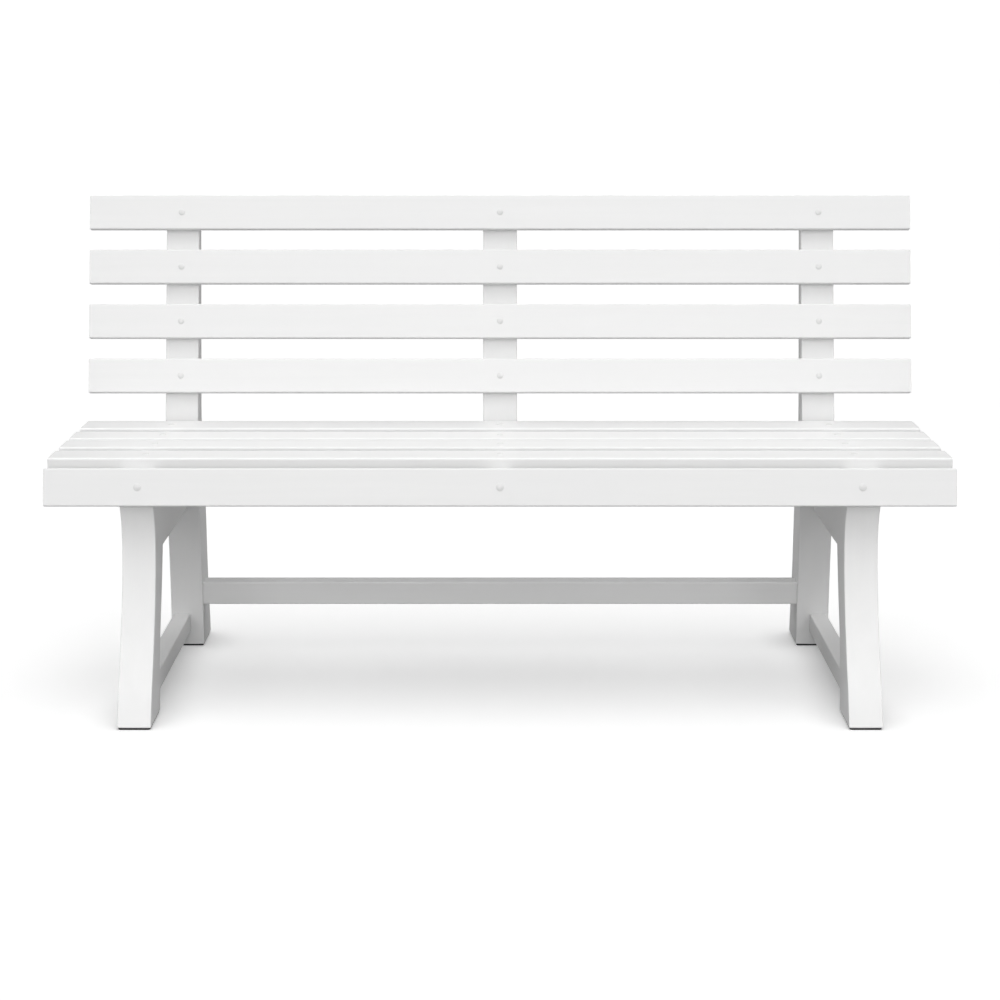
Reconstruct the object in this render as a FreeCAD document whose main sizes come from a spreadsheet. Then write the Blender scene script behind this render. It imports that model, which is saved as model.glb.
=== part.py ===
import FreeCAD, Part
import math
import os
import Sketcher
from FreeCAD import Placement, Rotation, Vector

# Five-foot park bench with a slatted back, in millimetres.
# +X runs along the bench, -Y is the front (where a sitter's legs are), +Z is up.
# The origin is on the ground, at the centre of the bench's footprint box.
# "left" is the -X end, "right" the +X end.
# Most sizes are set out from a datum plane just behind the middle of the
# apron's front face (depth 0), and origin_depth moves that datum to the
# centre of the footprint.

os.makedirs("parts", exist_ok=True)
doc = FreeCAD.newDocument("park_bench")
sheet = doc.addObject("Spreadsheet::Sheet", "dims")

TABLE = [
    ("origin_depth", 249.883, "depth of the footprint centre behind the datum"),
    # boards
    ("slat_len", 1524.0, "length of every slat"),
    ("edge_r", 2.5, "rounding on the long edges of the back slats, apron and rails"),
    ("seat_r", 4.0, "rounding on the upper long edges of the seat slats"),
    ("seat_low_r", 1.5, "rounding on their lower long edges"),
    ("end_r", 1.2, "rounding around the sawn ends of the slats"),
    ("leg_r", 2.0, "rounding on the legs and posts"),
    ("seat_w", 77.0, "seat slat width"),
    ("seat_rear_w", 90.0, "width of the rear seat slat"),
    ("seat_t", 19.0, "seat slat thickness"),
    ("seat_top", 437.0, "height of the seat"),
    ("seat_d1", 78.5, "depth of the front seat slat's centre line"),
    ("seat_d2", 186.5, "second seat slat"),
    ("seat_d3", 282.0, "third seat slat"),
    ("seat_d4", 397.5, "rear seat slat"),
    ("back_w", 63.5, "back slat and apron width"),
    ("back_t", 19.0, "back slat and apron thickness"),
    ("back_pitch", 101.6, "back slat spacing along the recline"),
    ("recline", 13.5, "recline of the back, degrees from upright"),
    ("back_low_depth", 465.0, "lowest back slat, face centre depth"),
    ("back_low_z", 518.0, "lowest back slat, face centre height"),
    ("apron_tilt", 12.5, "lean of the apron, degrees from upright"),
    ("apron_depth", -4.5, "apron face centre depth"),
    ("apron_z", 395.0, "apron face centre height"),
    # front leg
    ("fleg_x", 608.9, "front leg centre"),
    ("fleg_t", 56.7, "front leg thickness"),
    ("foot_z", 3.0, "underside of the legs, on the glides"),
    ("ff_d0", -90.0, "front leg, front edge curve"),
    ("ff_d1", -73.3, ""), ("ff_z1", 51.0, ""),
    ("ff_d2", -41.0, ""), ("ff_z2", 98.8, ""),
    ("ff_d3", 24.3, ""), ("ff_z3", 249.6, ""),
    ("ff_d4", 25.0, ""), ("ff_z4", 328.0, ""),
    ("ff_z5", 358.0, "foot of the flat that the apron is fixed to"),
    ("fr_d0", 154.0, "front leg, rear edge at the seat"),
    ("fr_d1", 101.0, "rear edge, foot of the straight part"), ("fr_z1", 255.0, ""),
    ("fr_d2", 90.3, ""), ("fr_z2", 223.6, ""),
    ("fr_d3", 68.8, ""), ("fr_z3", 170.3, ""),
    ("fr_d4", 37.2, ""), ("fr_z4", 106.0, ""),
    ("fr_d5", 33.0, ""), ("fr_z5", 75.0, ""),
    ("fr_d6", 23.5, "rear edge at the ground"),
    # rear leg and back post in one piece
    ("rleg_x", 591.25, "rear upright centre"),
    ("rleg_t", 60.5, "rear upright thickness"),
    ("rf_d0", 474.0, "rear upright, front edge at the ground"),
    ("rf_d1", 472.0, ""), ("rf_z1", 69.0, ""),
    ("rf_d2", 470.3, ""), ("rf_z2", 129.0, ""),
    ("rf_d3", 458.8, ""), ("rf_z3", 220.0, ""),
    ("rf_d4", 459.5, ""), ("rf_z4", 250.0, ""),
    ("rf_d5", 463.4, "front edge at the seat"),
    ("rf_bend", 14.0, "half length of the bend at the seat"),
    ("post_top", 837.0, "top of the posts"),
    ("post_tip", 29.5, "post thickness at the top, along the depth"),
    ("rr_d1", 522.0, "rear edge above the seat"), ("rr_z1", 460.0, ""),
    ("rr_d2", 515.4, ""), ("rr_z2", 421.8, ""),
    ("rr_d3", 530.5, ""), ("rr_z3", 345.9, ""),
    ("rr_d4", 555.5, ""), ("rr_z4", 234.3, ""),
    ("rr_d5", 554.0, ""), ("rr_z5", 117.5, ""),
    ("rr_d6", 577.0, ""), ("rr_z6", 44.0, ""),
    ("rr_d7", 580.0, "rear edge at the ground"),
    # centre post and seat rails
    ("cpost_t", 63.0, "centre post thickness along the bench"),
    ("cpost_foot", 352.0, "underside of the centre post"),
    ("rail_x", 601.5, "seat rail centre"),
    ("rail_t", 30.0, "seat rail thickness"),
    ("rail_low", 264.5, "seat rail underside"),
    ("crail_t", 38.0, "centre seat rail thickness"),
    ("crail_low", 363.0, "centre seat rail underside"),
    # stretchers
    ("side_low", 28.0, "side stretcher underside"),
    ("side_hi", 63.0, "side stretcher top"),
    ("side_t", 32.0, "side stretcher thickness"),
    ("long_low", 80.5, "long stretcher underside"),
    ("long_hi", 122.7, "long stretcher top"),
    ("long_d0", 476.0, "long stretcher front face"),
    ("long_d1", 520.0, "long stretcher rear face"),
    ("tenon_l", 20.0, "stub tenon length"),
    ("tenon_w", 18.0, "stub tenon width"),
    ("tenon_h", 16.0, "stub tenon height"),
    ("fit_gap", 0.1, "clearance of hidden fits"),
    # glides
    ("glide_inset", 2.0, "glide set in from the foot"),
    ("glide_r", 4.0, "glide corner rounding"),
    # slat screws
    ("head_r", 5.75, "slat screw head radius"),
    ("head_tall", 2.0, "slat screw head height"),
    ("shank_r", 3.0, "slat screw shank radius"),
    ("shank_len", 42.0, "slat screw length under the head"),
    ("tip_len", 4.0, "screw tip length"),
    ("slat_hole_r", 3.3, "clearance hole in a slat"),
    ("pilot_r", 3.05, "pilot hole in a post or rail"),
    ("pilot_extra", 3.0, "pilot hole depth past the screw"),
    ("apron_head_r", 6.5, "apron screw head radius"),
    ("apron_screw_x", 605.0, "apron screw distance from the middle"),
    # frame bolts with barrel nuts
    ("bolt_r", 4.0, "frame bolt radius"),
    ("bolt_hole_r", 4.5, "frame bolt hole radius"),
    ("bolt_head_r", 6.5, "frame bolt head radius"),
    ("bolt_head_tall", 8.0, "frame bolt head height"),
    ("socket_r", 3.4, "hexagon socket size across corners, half"),
    ("socket_deep", 4.0, "hexagon socket depth"),
    ("washer_r", 8.0, "washer radius"),
    ("washer_t", 1.6, "washer thickness"),
    ("cbore_r", 8.5, "counterbore radius"),
    ("cbore_deep", 11.0, "counterbore depth"),
    ("barrel_r", 6.0, "barrel nut radius"),
    ("barrel_len", 22.0, "barrel nut length"),
    ("barrel_hole_r", 6.1, "barrel nut hole radius"),
    ("dowel_r", 5.0, "dowel radius"),
    ("dowel_len", 50.0, "dowel length"),
    ("dowel_hole_r", 5.05, "dowel hole radius"),
    ("front_bolt_z", 369.5, "bolt from the front leg into the seat rail"),
    ("rear_bolt_z1", 300.0, "lower bolt from the upright into the seat rail"),
    ("rear_bolt_z2", 380.0, "upper bolt from the upright into the seat rail"),
    ("crail_bolt_z", 387.0, "bolt from the centre post into the centre rail"),
    ("rear_seat_d1", 528.0, "lower rear bolt, depth of its counterbore's floor"),
    ("rear_seat_d2", 509.0, "upper rear bolt, depth of its counterbore's floor"),
    ("crail_seat_d", 492.0, "centre post bolt, depth of its counterbore's floor"),
    # glide screws
    ("gs_head_r", 4.0, "glide screw head radius"),
    ("gs_shank_r", 2.0, "glide screw shank radius"),
    ("gs_len", 20.0, "glide screw length"),
    ("gs_up", 0.8, "glide screw head, height over the ground"),
]


class Dim:
    """A number that also keeps the sheet expression it came from."""

    def __init__(self, text, value):
        self.text = text
        self.value = float(value)

    @staticmethod
    def of(other):
        if isinstance(other, Dim):
            return other
        return Dim("(%r)" % float(other), other)

    def __add__(self, other):
        other = Dim.of(other)
        return Dim("(%s + %s)" % (self.text, other.text), self.value + other.value)

    def __radd__(self, other):
        return Dim.of(other) + self

    def __sub__(self, other):
        other = Dim.of(other)
        return Dim("(%s - %s)" % (self.text, other.text), self.value - other.value)

    def __rsub__(self, other):
        return Dim.of(other) - self

    def __mul__(self, other):
        other = Dim.of(other)
        return Dim("(%s * %s)" % (self.text, other.text), self.value * other.value)

    def __rmul__(self, other):
        return Dim.of(other) * self

    def __truediv__(self, other):
        other = Dim.of(other)
        return Dim("(%s / %s)" % (self.text, other.text), self.value / other.value)

    def __neg__(self):
        return Dim("(0 - %s)" % self.text, -self.value)


def dsin(a):
    return Dim("sin(%s)" % a.text, math.sin(math.radians(a.value)))


def dcos(a):
    return Dim("cos(%s)" % a.text, math.cos(math.radians(a.value)))


D = {}
for row, (alias, value, note) in enumerate(TABLE, start=1):
    sheet.set("A%d" % row, alias)
    sheet.set("B%d" % row, repr(value))
    sheet.set("C%d" % row, note)
    sheet.setAlias("B%d" % row, alias)
    D[alias] = Dim("dims." + alias, value)
doc.recompute()
ZERO = Dim.of(0.0)
NODES = []


def bind(obj, path, dim):
    obj.setExpression(path, Dim.of(dim).text)


def put(obj, x, depth, z, lean=None, offset=True):
    """Place obj at x, depth and z, leaning back by `lean` degrees."""
    y = depth - D["origin_depth"] if offset else depth
    x, y, z = Dim.of(x), Dim.of(y), Dim.of(z)
    if lean is None:
        obj.Placement = Placement(Vector(x.value, y.value, z.value), Rotation())
    else:
        turn = -Dim.of(lean)
        obj.Placement = Placement(Vector(x.value, y.value, z.value),
                                  Rotation(Vector(1, 0, 0), turn.value))
        if turn.value < 0:
            # FreeCAD keeps the angle positive and turns the axis over
            axis = obj.Placement.Rotation.Axis
            bind(obj, "Placement.Rotation.Angle", turn if axis.x > 0 else -turn)
    bind(obj, "Placement.Base.x", x)
    bind(obj, "Placement.Base.y", y)
    bind(obj, "Placement.Base.z", z)


def new_body(name):
    return doc.addObject("PartDesign::Body", name)


def plane_sketch(body, name, role):
    sk = body.newObject("Sketcher::SketchObject", name)
    plane = [f for f in body.Origin.OriginFeatures if f.Role == role][0]
    sk.AttachmentSupport = [(plane, "")]
    sk.MapMode = "FlatFace"
    return sk


def pin_point(sk, geo, pos, u, v, tag):
    """Fix a sketch point at (u, v), bound to the sheet."""
    c = sk.addConstraint(Sketcher.Constraint("DistanceX", -1, 1, geo, pos, u.value))
    sk.renameConstraint(c, tag + "_u")
    sk.setExpression("Constraints." + tag + "_u", u.text)
    c = sk.addConstraint(Sketcher.Constraint("DistanceY", -1, 1, geo, pos, v.value))
    sk.renameConstraint(c, tag + "_v")
    sk.setExpression("Constraints." + tag + "_v", v.text)


def outline(sk, runs):
    """Closed outline. Each run is a list of poles; two poles make a line,
    more make a B-spline. A run ends where the next one starts."""
    starts = []
    for i, run in enumerate(runs):
        last = runs[(i + 1) % len(runs)][0]
        poles = [(Dim.of(u), Dim.of(v)) for u, v in run + [last]]
        pts = [Vector(u.value, v.value, 0) for u, v in poles]
        if len(pts) == 2:
            starts.append((sk.addGeometry(Part.LineSegment(pts[0], pts[1])), poles))
        else:
            deg = min(3, len(pts) - 1)
            spans = len(pts) - deg
            knots = [k / spans for k in range(spans + 1)]
            mults = [deg + 1] + [1] * (spans - 1) + [deg + 1]
            curve = Part.BSplineCurve()
            curve.buildFromPolesMultsKnots(pts, mults, knots, False, deg)
            geo = sk.addGeometry(curve)
            first = sk.GeometryCount
            sk.exposeInternalGeometry(geo)
            for k in range(1, len(pts) - 1):
                pin_point(sk, first + k, 3, poles[k][0], poles[k][1], "p%d_%d" % (i, k))
            starts.append((geo, poles))
    for i, (geo, poles) in enumerate(starts):
        nxt = starts[(i + 1) % len(starts)][0]
        sk.addConstraint(Sketcher.Constraint("Coincident", geo, 2, nxt, 1))
        pin_point(sk, geo, 1, poles[0][0], poles[0][1], "v%d" % i)


def polygon(sk, pts):
    outline(sk, [[p] for p in pts])


def circles(sk, items):
    """items: (u, v, radius)"""
    for i, (u, v, r) in enumerate(items):
        u, v, r = Dim.of(u), Dim.of(v), Dim.of(r)
        geo = sk.addGeometry(Part.Circle(Vector(u.value, v.value, 0), Vector(0, 0, 1), r.value))
        pin_point(sk, geo, 3, u, v, "c%d" % i)
        c = sk.addConstraint(Sketcher.Constraint("Radius", geo, r.value))
        sk.renameConstraint(c, "c%d_r" % i)
        sk.setExpression("Constraints.c%d_r" % i, r.text)


def pad(body, name, sk, length):
    """Pad a profile to both sides of its plane."""
    p = body.newObject("PartDesign::Pad", name)
    p.Profile = sk
    p.SideType = "Symmetric"
    p.Length = Dim.of(length).value
    bind(p, "Length", length)
    sk.Visibility = False
    body.Tip = p
    doc.recompute()
    return p


def round_all(body, base, radius, keep=None, name="rounding"):
    f = body.newObject("PartDesign::Fillet", name)
    edges = []
    for i, e in enumerate(base.Shape.Edges, start=1):
        if keep is None or keep(e):
            edges.append("Edge%d" % i)
    f.Base = (base, edges)
    f.Radius = radius.value
    bind(f, "Radius", radius)
    body.Tip = f
    doc.recompute()
    return f


def through(body, sk, name):
    """Cut a sketch right through the body, and make sure that it cut."""
    before = body.Tip.Shape.Volume
    c = body.newObject("PartDesign::Pocket", name)
    c.Profile = sk
    c.Type = "ThroughAll"
    c.SideType = "Symmetric"
    body.Tip = c
    doc.recompute()
    if not c.Shape.Volume < before - 1.0:
        raise RuntimeError("%s cut nothing from %s" % (name, body.Label))
    return c


def node(obj, name):
    obj.Label = name
    NODES.append((name, obj))
    return obj


# ---------------------------------------------------------------- holes
# A hole is (x, depth, z, how, radius, start, length): a cylinder on the line
# through the point, along one of these directions, from start to start+length.
#   "+y" level towards the rear, "-z" down, "+z" up, "+x" / "-x" along the bench,
#   "back" square to the reclined back, "apron" square to the leaning apron
def direction(how):
    """Unit vector as three Dims, and the turn of a cylinder's +Z onto it."""
    one = Dim.of(1.0)
    if how == "+y":
        return (ZERO, one, ZERO), (Vector(1, 0, 0), Dim.of(-90.0))
    if how == "-z":
        return (ZERO, ZERO, -one), (Vector(1, 0, 0), Dim.of(180.0))
    if how == "+z":
        return (ZERO, ZERO, one), None
    if how == "+x":
        return (one, ZERO, ZERO), (Vector(0, 1, 0), Dim.of(90.0))
    if how == "-x":
        return (-one, ZERO, ZERO), (Vector(0, 1, 0), Dim.of(-90.0))
    lean = D["recline"] if how == "back" else D["apron_tilt"]
    return (ZERO, dcos(lean), -dsin(lean)), (Vector(1, 0, 0), Dim.of(-90.0) - lean)


def turn_to(obj, pos, turn):
    obj.Placement = Placement(Vector(*[p.value for p in pos]),
                              Rotation() if turn is None else Rotation(turn[0], turn[1].value))
    if turn is not None and abs(turn[1].value) < 179.9:
        axis = obj.Placement.Rotation.Axis
        same = axis.dot(turn[0]) > 0
        bind(obj, "Placement.Rotation.Angle", turn[1] if same else -turn[1])
    for key, p in zip("xyz", pos):
        bind(obj, "Placement.Base." + key, p)


def start_point(x, depth, z, how, start):
    vec, turn = direction(how)
    base = (Dim.of(x), Dim.of(depth) - D["origin_depth"], Dim.of(z))
    return [b + v * Dim.of(start) for b, v in zip(base, vec)], turn


def drill(base, name, holes):
    """Cut round holes in a piece."""
    tools = []
    for i, (x, depth, z, how, radius, start, length) in enumerate(holes):
        cyl = doc.addObject("Part::Cylinder", "%s_hole%d" % (name, i + 1))
        cyl.Radius = Dim.of(radius).value
        cyl.Height = Dim.of(length).value
        bind(cyl, "Radius", radius)
        bind(cyl, "Height", length)
        pos, turn = start_point(x, depth, z, how, start)
        turn_to(cyl, pos, turn)
        tools.append(cyl)
    return cut(base, name, tools)


def cut(base, name, tools):
    if len(tools) == 1:
        tool = tools[0]
    else:
        tool = doc.addObject("Part::Compound", name + "_tools")
        tool.Links = tools
    c = doc.addObject("Part::Cut", name + "_cut")
    c.Base = base
    c.Tool = tool
    doc.recompute()
    before = base.Shape.Volume
    if not c.Shape.Volume < before - 1.0:
        raise RuntimeError("the tools cut nothing from " + name)
    return c


# ---------------------------------------------------------------- boards
seat_under = D["seat_top"] - D["seat_t"]
lean_s, lean_c = dsin(D["recline"]), dcos(D["recline"])
tilt_s, tilt_c = dsin(D["apron_tilt"]), dcos(D["apron_tilt"])


def board(name, wide, thick, flat, screw_x):
    """A full-length slat. A flat one lies on its lower face, an upright one
    has its front face on the plane of no depth."""
    body = new_body(name + "_body")
    sk = plane_sketch(body, "section", "YZ_Plane")
    half = wide / 2.0
    if flat:
        polygon(sk, [(-half, ZERO), (half, ZERO), (half, thick), (-half, thick)])
    else:
        polygon(sk, [(ZERO, -half), (thick, -half), (thick, half), (ZERO, half)])
    p = pad(body, "length", sk, D["slat_len"])
    if flat:
        upper = round_all(body, p, D["seat_r"], name="upper_rounding",
                          keep=lambda e: e.BoundBox.XLength > 200.0 and e.BoundBox.ZMin > 1.0)
        soft = round_all(body, upper, D["seat_low_r"],
                         keep=lambda e: e.BoundBox.XLength > 200.0 and e.BoundBox.ZMax < 1.0)
    else:
        soft = round_all(body, p, D["edge_r"], keep=lambda e: e.BoundBox.XLength > 200.0)
    round_all(body, soft, D["end_r"], keep=lambda e: e.BoundBox.XLength < 1.0, name="end_rounding")
    hs = plane_sketch(body, "screw_holes", "XY_Plane" if flat else "XZ_Plane")
    circles(hs, [(-screw_x, 0.0, D["slat_hole_r"]), (0.0, 0.0, D["slat_hole_r"]),
                 (screw_x, 0.0, D["slat_hole_r"])])
    through(body, hs, "screw_clearance")
    return body


SEAT_D = [D["seat_d%d" % (i + 1)] for i in range(4)]
for i in range(4):
    b = board("seat_slat_%d" % (i + 1), D["seat_rear_w"] if i == 3 else D["seat_w"],
              D["seat_t"], True, D["rail_x"])
    put(b, 0.0, SEAT_D[i], seat_under)
    node(b, "seat_slat_%d" % (i + 1))

# back slats, numbered from the lowest up
BACK = [(D["back_low_depth"] + D["back_pitch"] * i * lean_s,
         D["back_low_z"] + D["back_pitch"] * i * lean_c) for i in range(4)]
for i in range(4):
    b = board("back_slat_%d" % (i + 1), D["back_w"], D["back_t"], False, D["rleg_x"])
    put(b, 0.0, BACK[i][0], BACK[i][1], D["recline"])
    node(b, "back_slat_%d" % (i + 1))

b = board("front_apron", D["back_w"], D["back_t"], False, D["apron_screw_x"])
put(b, 0.0, D["apron_depth"], D["apron_z"], D["apron_tilt"])
node(b, "front_apron")


# ---------------------------------------------------------------- legs
def apron_back(z):
    """Depth of the plane of the apron's back face at height z."""
    z = Dim.of(z)
    d0 = D["apron_depth"] + D["back_t"] * tilt_c
    z0 = D["apron_z"] - D["back_t"] * tilt_s
    return d0 + (z - z0) * tilt_s / tilt_c


def post_face(z):
    """Depth of the plane of the back slats' rear faces at height z."""
    z = Dim.of(z)
    d0 = D["back_low_depth"] + D["back_t"] * lean_c
    z0 = D["back_low_z"] - D["back_t"] * lean_s
    return d0 + (z - z0) * lean_s / lean_c


def fleg_rear(z):
    """Front leg, straight part of the rear edge, between the seat and fr_z1."""
    k = (D["fr_d0"] - D["fr_d1"]) / (seat_under - D["fr_z1"])
    return D["fr_d1"] + (Dim.of(z) - D["fr_z1"]) * k


def fleg_rear_low(z):
    k = (D["fr_d5"] - D["fr_d6"]) / (D["fr_z5"] - D["foot_z"])
    return D["fr_d6"] + (Dim.of(z) - D["foot_z"]) * k


def rleg_front(z):
    """Rear upright, straight part of the front edge under the seat."""
    k = (D["rf_d5"] - D["rf_d4"]) / (seat_under - D["rf_z4"])
    return D["rf_d4"] + (Dim.of(z) - D["rf_z4"]) * k


def rleg_front_low(z):
    k = (D["rf_d1"] - D["rf_d0"]) / (D["rf_z1"] - D["foot_z"])
    return D["rf_d0"] + (Dim.of(z) - D["foot_z"]) * k


def leg_body(name, runs, thick):
    body = new_body(name)
    sk = plane_sketch(body, "profile", "YZ_Plane")
    outline(sk, runs)
    p = pad(body, "thickness", sk, thick)
    round_all(body, p, D["leg_r"])
    return body


def front_leg_runs():
    # up the front edge, along the apron flat, over the top, down the rear edge
    return [
        [(D["ff_d0"], D["foot_z"]), (D["ff_d1"], D["ff_z1"]), (D["ff_d2"], D["ff_z2"]),
         (D["ff_d3"], D["ff_z3"]), (D["ff_d4"], D["ff_z4"])],
        [(apron_back(D["ff_z5"]), D["ff_z5"])],
        [(apron_back(seat_under), seat_under)],
        [(D["fr_d0"], seat_under)],
        [(D["fr_d1"], D["fr_z1"]), (D["fr_d2"], D["fr_z2"]), (D["fr_d3"], D["fr_z3"]),
         (D["fr_d4"], D["fr_z4"])],
        [(D["fr_d5"], D["fr_z5"])],
        [(D["fr_d6"], D["foot_z"])],
    ]


# the bend between the upright part under the seat and the reclined part
bend_top_z = seat_under + D["rf_bend"] * 2.0
bend_mid_z = seat_under + D["rf_bend"]


def rear_upright_runs():
    return [
        [(D["rf_d0"], D["foot_z"])],
        [(D["rf_d1"], D["rf_z1"]), (D["rf_d2"], D["rf_z2"]), (D["rf_d3"], D["rf_z3"])],
        [(D["rf_d4"], D["rf_z4"])],
        [(D["rf_d5"], seat_under), (rleg_front(bend_mid_z), bend_mid_z)],
        [(post_face(bend_top_z), bend_top_z)],
        [(post_face(D["post_top"]), D["post_top"])],
        [(post_face(D["post_top"]) + D["post_tip"], D["post_top"])],
        [(D["rr_d1"], D["rr_z1"]), (D["rr_d2"], D["rr_z2"]), (D["rr_d3"], D["rr_z3"]),
         (D["rr_d4"], D["rr_z4"]), (D["rr_d5"], D["rr_z5"]), (D["rr_d6"], D["rr_z6"])],
        [(D["rr_d7"], D["foot_z"])],
    ]


pilot_deep = D["shank_len"] - D["back_t"] + D["pilot_extra"]
seat_pilot_deep = D["shank_len"] - D["seat_t"] + D["pilot_extra"]


def screw_pilots(x):
    """Pilot holes for the four back slat screws."""
    return [(x, d, z, "back", D["pilot_r"], D["back_t"] - 1.0, pilot_deep + 1.0) for d, z in BACK]


def seat_pilot(x, depth):
    return (x, depth, D["seat_top"], "-z", D["pilot_r"], D["seat_t"] - 1.0, seat_pilot_deep + 1.0)


def apron_pilot(x):
    return (x, D["apron_depth"], D["apron_z"], "apron", D["pilot_r"], D["back_t"] - 1.0, pilot_deep + 1.0)


# depth of a bolt head's seat under the counterbore, and of its barrel nut
front_bolt_seat = apron_back(D["front_bolt_z"]) + D["cbore_deep"]
front_nut_d = fleg_rear(D["front_bolt_z"]) + 38.0
dowel_front_z = [Dim.of(300.0), Dim.of(399.0)]


rear_bolts = [
    # height, and depth of the counterbore's floor
    (D["rear_bolt_z1"], D["rear_seat_d1"]),
    (D["rear_bolt_z2"], D["rear_seat_d2"]),
]
rear_nut_d = rleg_front(D["rear_bolt_z1"]) - 34.0
crear_seat = D["crail_seat_d"]
cnut_d = post_face(D["crail_bolt_z"]) - 36.0


def glide_spots(d0, d1):
    mid = (d0 + d1) / 2.0
    return [mid - 28.0, mid + 28.0]


FRONT_GLIDE = (D["ff_d0"] + D["glide_inset"], D["fr_d6"] - D["glide_inset"])
REAR_GLIDE = (D["rf_d0"] + D["glide_inset"], D["rr_d7"] - D["glide_inset"])

for side, sign in (("left", -1.0), ("right", 1.0)):
    fx = D["fleg_x"] * sign
    rx = D["rleg_x"] * sign
    sx = D["rail_x"] * sign
    ax = D["apron_screw_x"] * sign
    outward = "+x" if sign > 0 else "-x"

    # front leg
    leg = leg_body(side + "_front_leg_body", front_leg_runs(), D["fleg_t"])
    put(leg, fx, 0.0, 0.0)
    holes = [
        apron_pilot(ax),
        seat_pilot(sx, SEAT_D[0]),
        (sx, ZERO, D["front_bolt_z"], "+y", D["cbore_r"], 5.0, front_bolt_seat - 5.0),
        (sx, ZERO, D["front_bolt_z"], "+y", D["bolt_hole_r"], 20.0, Dim.of(150.0)),
    ]
    for z in dowel_front_z:
        holes.append((sx, fleg_rear(z), z, "+y", D["dowel_hole_r"],
                      -(D["dowel_len"] / 2.0) - 1.0, D["dowel_len"] + 2.0))
    for d in glide_spots(*FRONT_GLIDE):
        holes.append((fx, d, D["foot_z"], "+z", D["gs_shank_r"] + 0.05, -1.0, D["gs_len"] + 1.0))
    c = drill(leg, side + "_front_leg", holes)
    mort = doc.addObject("Part::Box", side + "_front_mortise")
    for key, dim in (("Length", D["tenon_w"] + D["fit_gap"] * 2.0), ("Width", D["tenon_l"] + 12.0),
                     ("Height", D["tenon_h"] + D["fit_gap"] * 2.0)):
        setattr(mort, key, dim.value)
        bind(mort, key, dim)
    side_mid = (D["side_low"] + D["side_hi"]) / 2.0
    put(mort, sx - D["tenon_w"] / 2.0 - D["fit_gap"],
        fleg_rear_low(side_mid) - D["tenon_l"] - D["fit_gap"] - 1.0,
        side_mid - D["tenon_h"] / 2.0 - D["fit_gap"])
    node(cut(c, side + "_front_leg_m", [mort]), side + "_front_leg")

    # rear leg and back post in one piece
    up = leg_body(side + "_rear_upright_body", rear_upright_runs(), D["rleg_t"])
    put(up, rx, 0.0, 0.0)
    holes = screw_pilots(rx)
    for z, seat_d in rear_bolts:
        holes.append((sx, seat_d, z, "+y", D["cbore_r"], 0.0, Dim.of(60.0)))
        holes.append((sx, ZERO, z, "+y", D["bolt_hole_r"], Dim.of(430.0), Dim.of(160.0)))
    for d in glide_spots(*REAR_GLIDE):
        holes.append((rx, d, D["foot_z"], "+z", D["gs_shank_r"] + 0.05, -1.0, D["gs_len"] + 1.0))
    # the long stretcher's bolt, from the outer face
    long_mid_d = (D["long_d0"] + D["long_d1"]) / 2.0
    long_mid_z = (D["long_low"] + D["long_hi"]) / 2.0
    long_seat = D["rleg_x"] + D["rleg_t"] / 2.0 - D["cbore_deep"]
    holes.append((ZERO, long_mid_d, long_mid_z, outward, D["cbore_r"], long_seat, Dim.of(40.0)))
    holes.append((ZERO, long_mid_d, long_mid_z, outward, D["bolt_hole_r"], Dim.of(540.0),
                  Dim.of(100.0)))
    c = drill(up, side + "_rear_upright", holes)
    mort = doc.addObject("Part::Box", side + "_rear_mortise")
    for key, dim in (("Length", D["tenon_w"] + D["fit_gap"] * 2.0), ("Width", D["tenon_l"] + 12.0),
                     ("Height", D["tenon_h"] + D["fit_gap"] * 2.0)):
        setattr(mort, key, dim.value)
        bind(mort, key, dim)
    put(mort, sx - D["tenon_w"] / 2.0 - D["fit_gap"],
        rleg_front_low(side_mid) + D["tenon_l"] + D["fit_gap"] + 1.0 - (D["tenon_l"] + 12.0),
        side_mid - D["tenon_h"] / 2.0 - D["fit_gap"])
    node(cut(c, side + "_rear_upright_m", [mort]), side + "_rear_upright")

    # seat rail, between the legs and under the slats
    rail = new_body(side + "_seat_rail_body")
    sk = plane_sketch(rail, "profile", "YZ_Plane")
    polygon(sk, [
        (fleg_rear(D["rail_low"]), D["rail_low"]),
        (rleg_front(D["rail_low"]), D["rail_low"]),
        (rleg_front(seat_under), seat_under),
        (D["fr_d0"], seat_under),
    ])
    p = pad(rail, "thickness", sk, D["rail_t"])
    # the ends stay sharp where they bear on the legs
    round_all(rail, p, D["edge_r"], keep=lambda e: e.BoundBox.YLength > 200.0)
    put(rail, sx, 0.0, 0.0)
    holes = [seat_pilot(sx, d) for d in SEAT_D[1:]]
    holes.append((sx, ZERO, D["front_bolt_z"], "+y", D["bolt_hole_r"], 90.0, front_nut_d - 90.0))
    for z in dowel_front_z:
        holes.append((sx, fleg_rear(z), z, "+y", D["dowel_hole_r"],
                      -(D["dowel_len"] / 2.0) - 1.0, D["dowel_len"] + 2.0))
    for z, seat_d in rear_bolts:
        holes.append((sx, ZERO, z, "+y", D["bolt_hole_r"], rear_nut_d, Dim.of(80.0)))
    # blind cross holes for the barrel nuts, from the outer face
    spots = [(front_nut_d, D["front_bolt_z"]), (rear_nut_d, D["rear_bolt_z1"]),
             (rear_nut_d, D["rear_bolt_z2"])]
    for d, z in spots:
        holes.append((ZERO, d, z, outward, D["barrel_hole_r"],
                      D["rail_x"] - D["barrel_len"] / 2.0 - 0.5, Dim.of(40.0)))
    node(drill(rail, side + "_seat_rail", holes), side + "_seat_rail")

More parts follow.
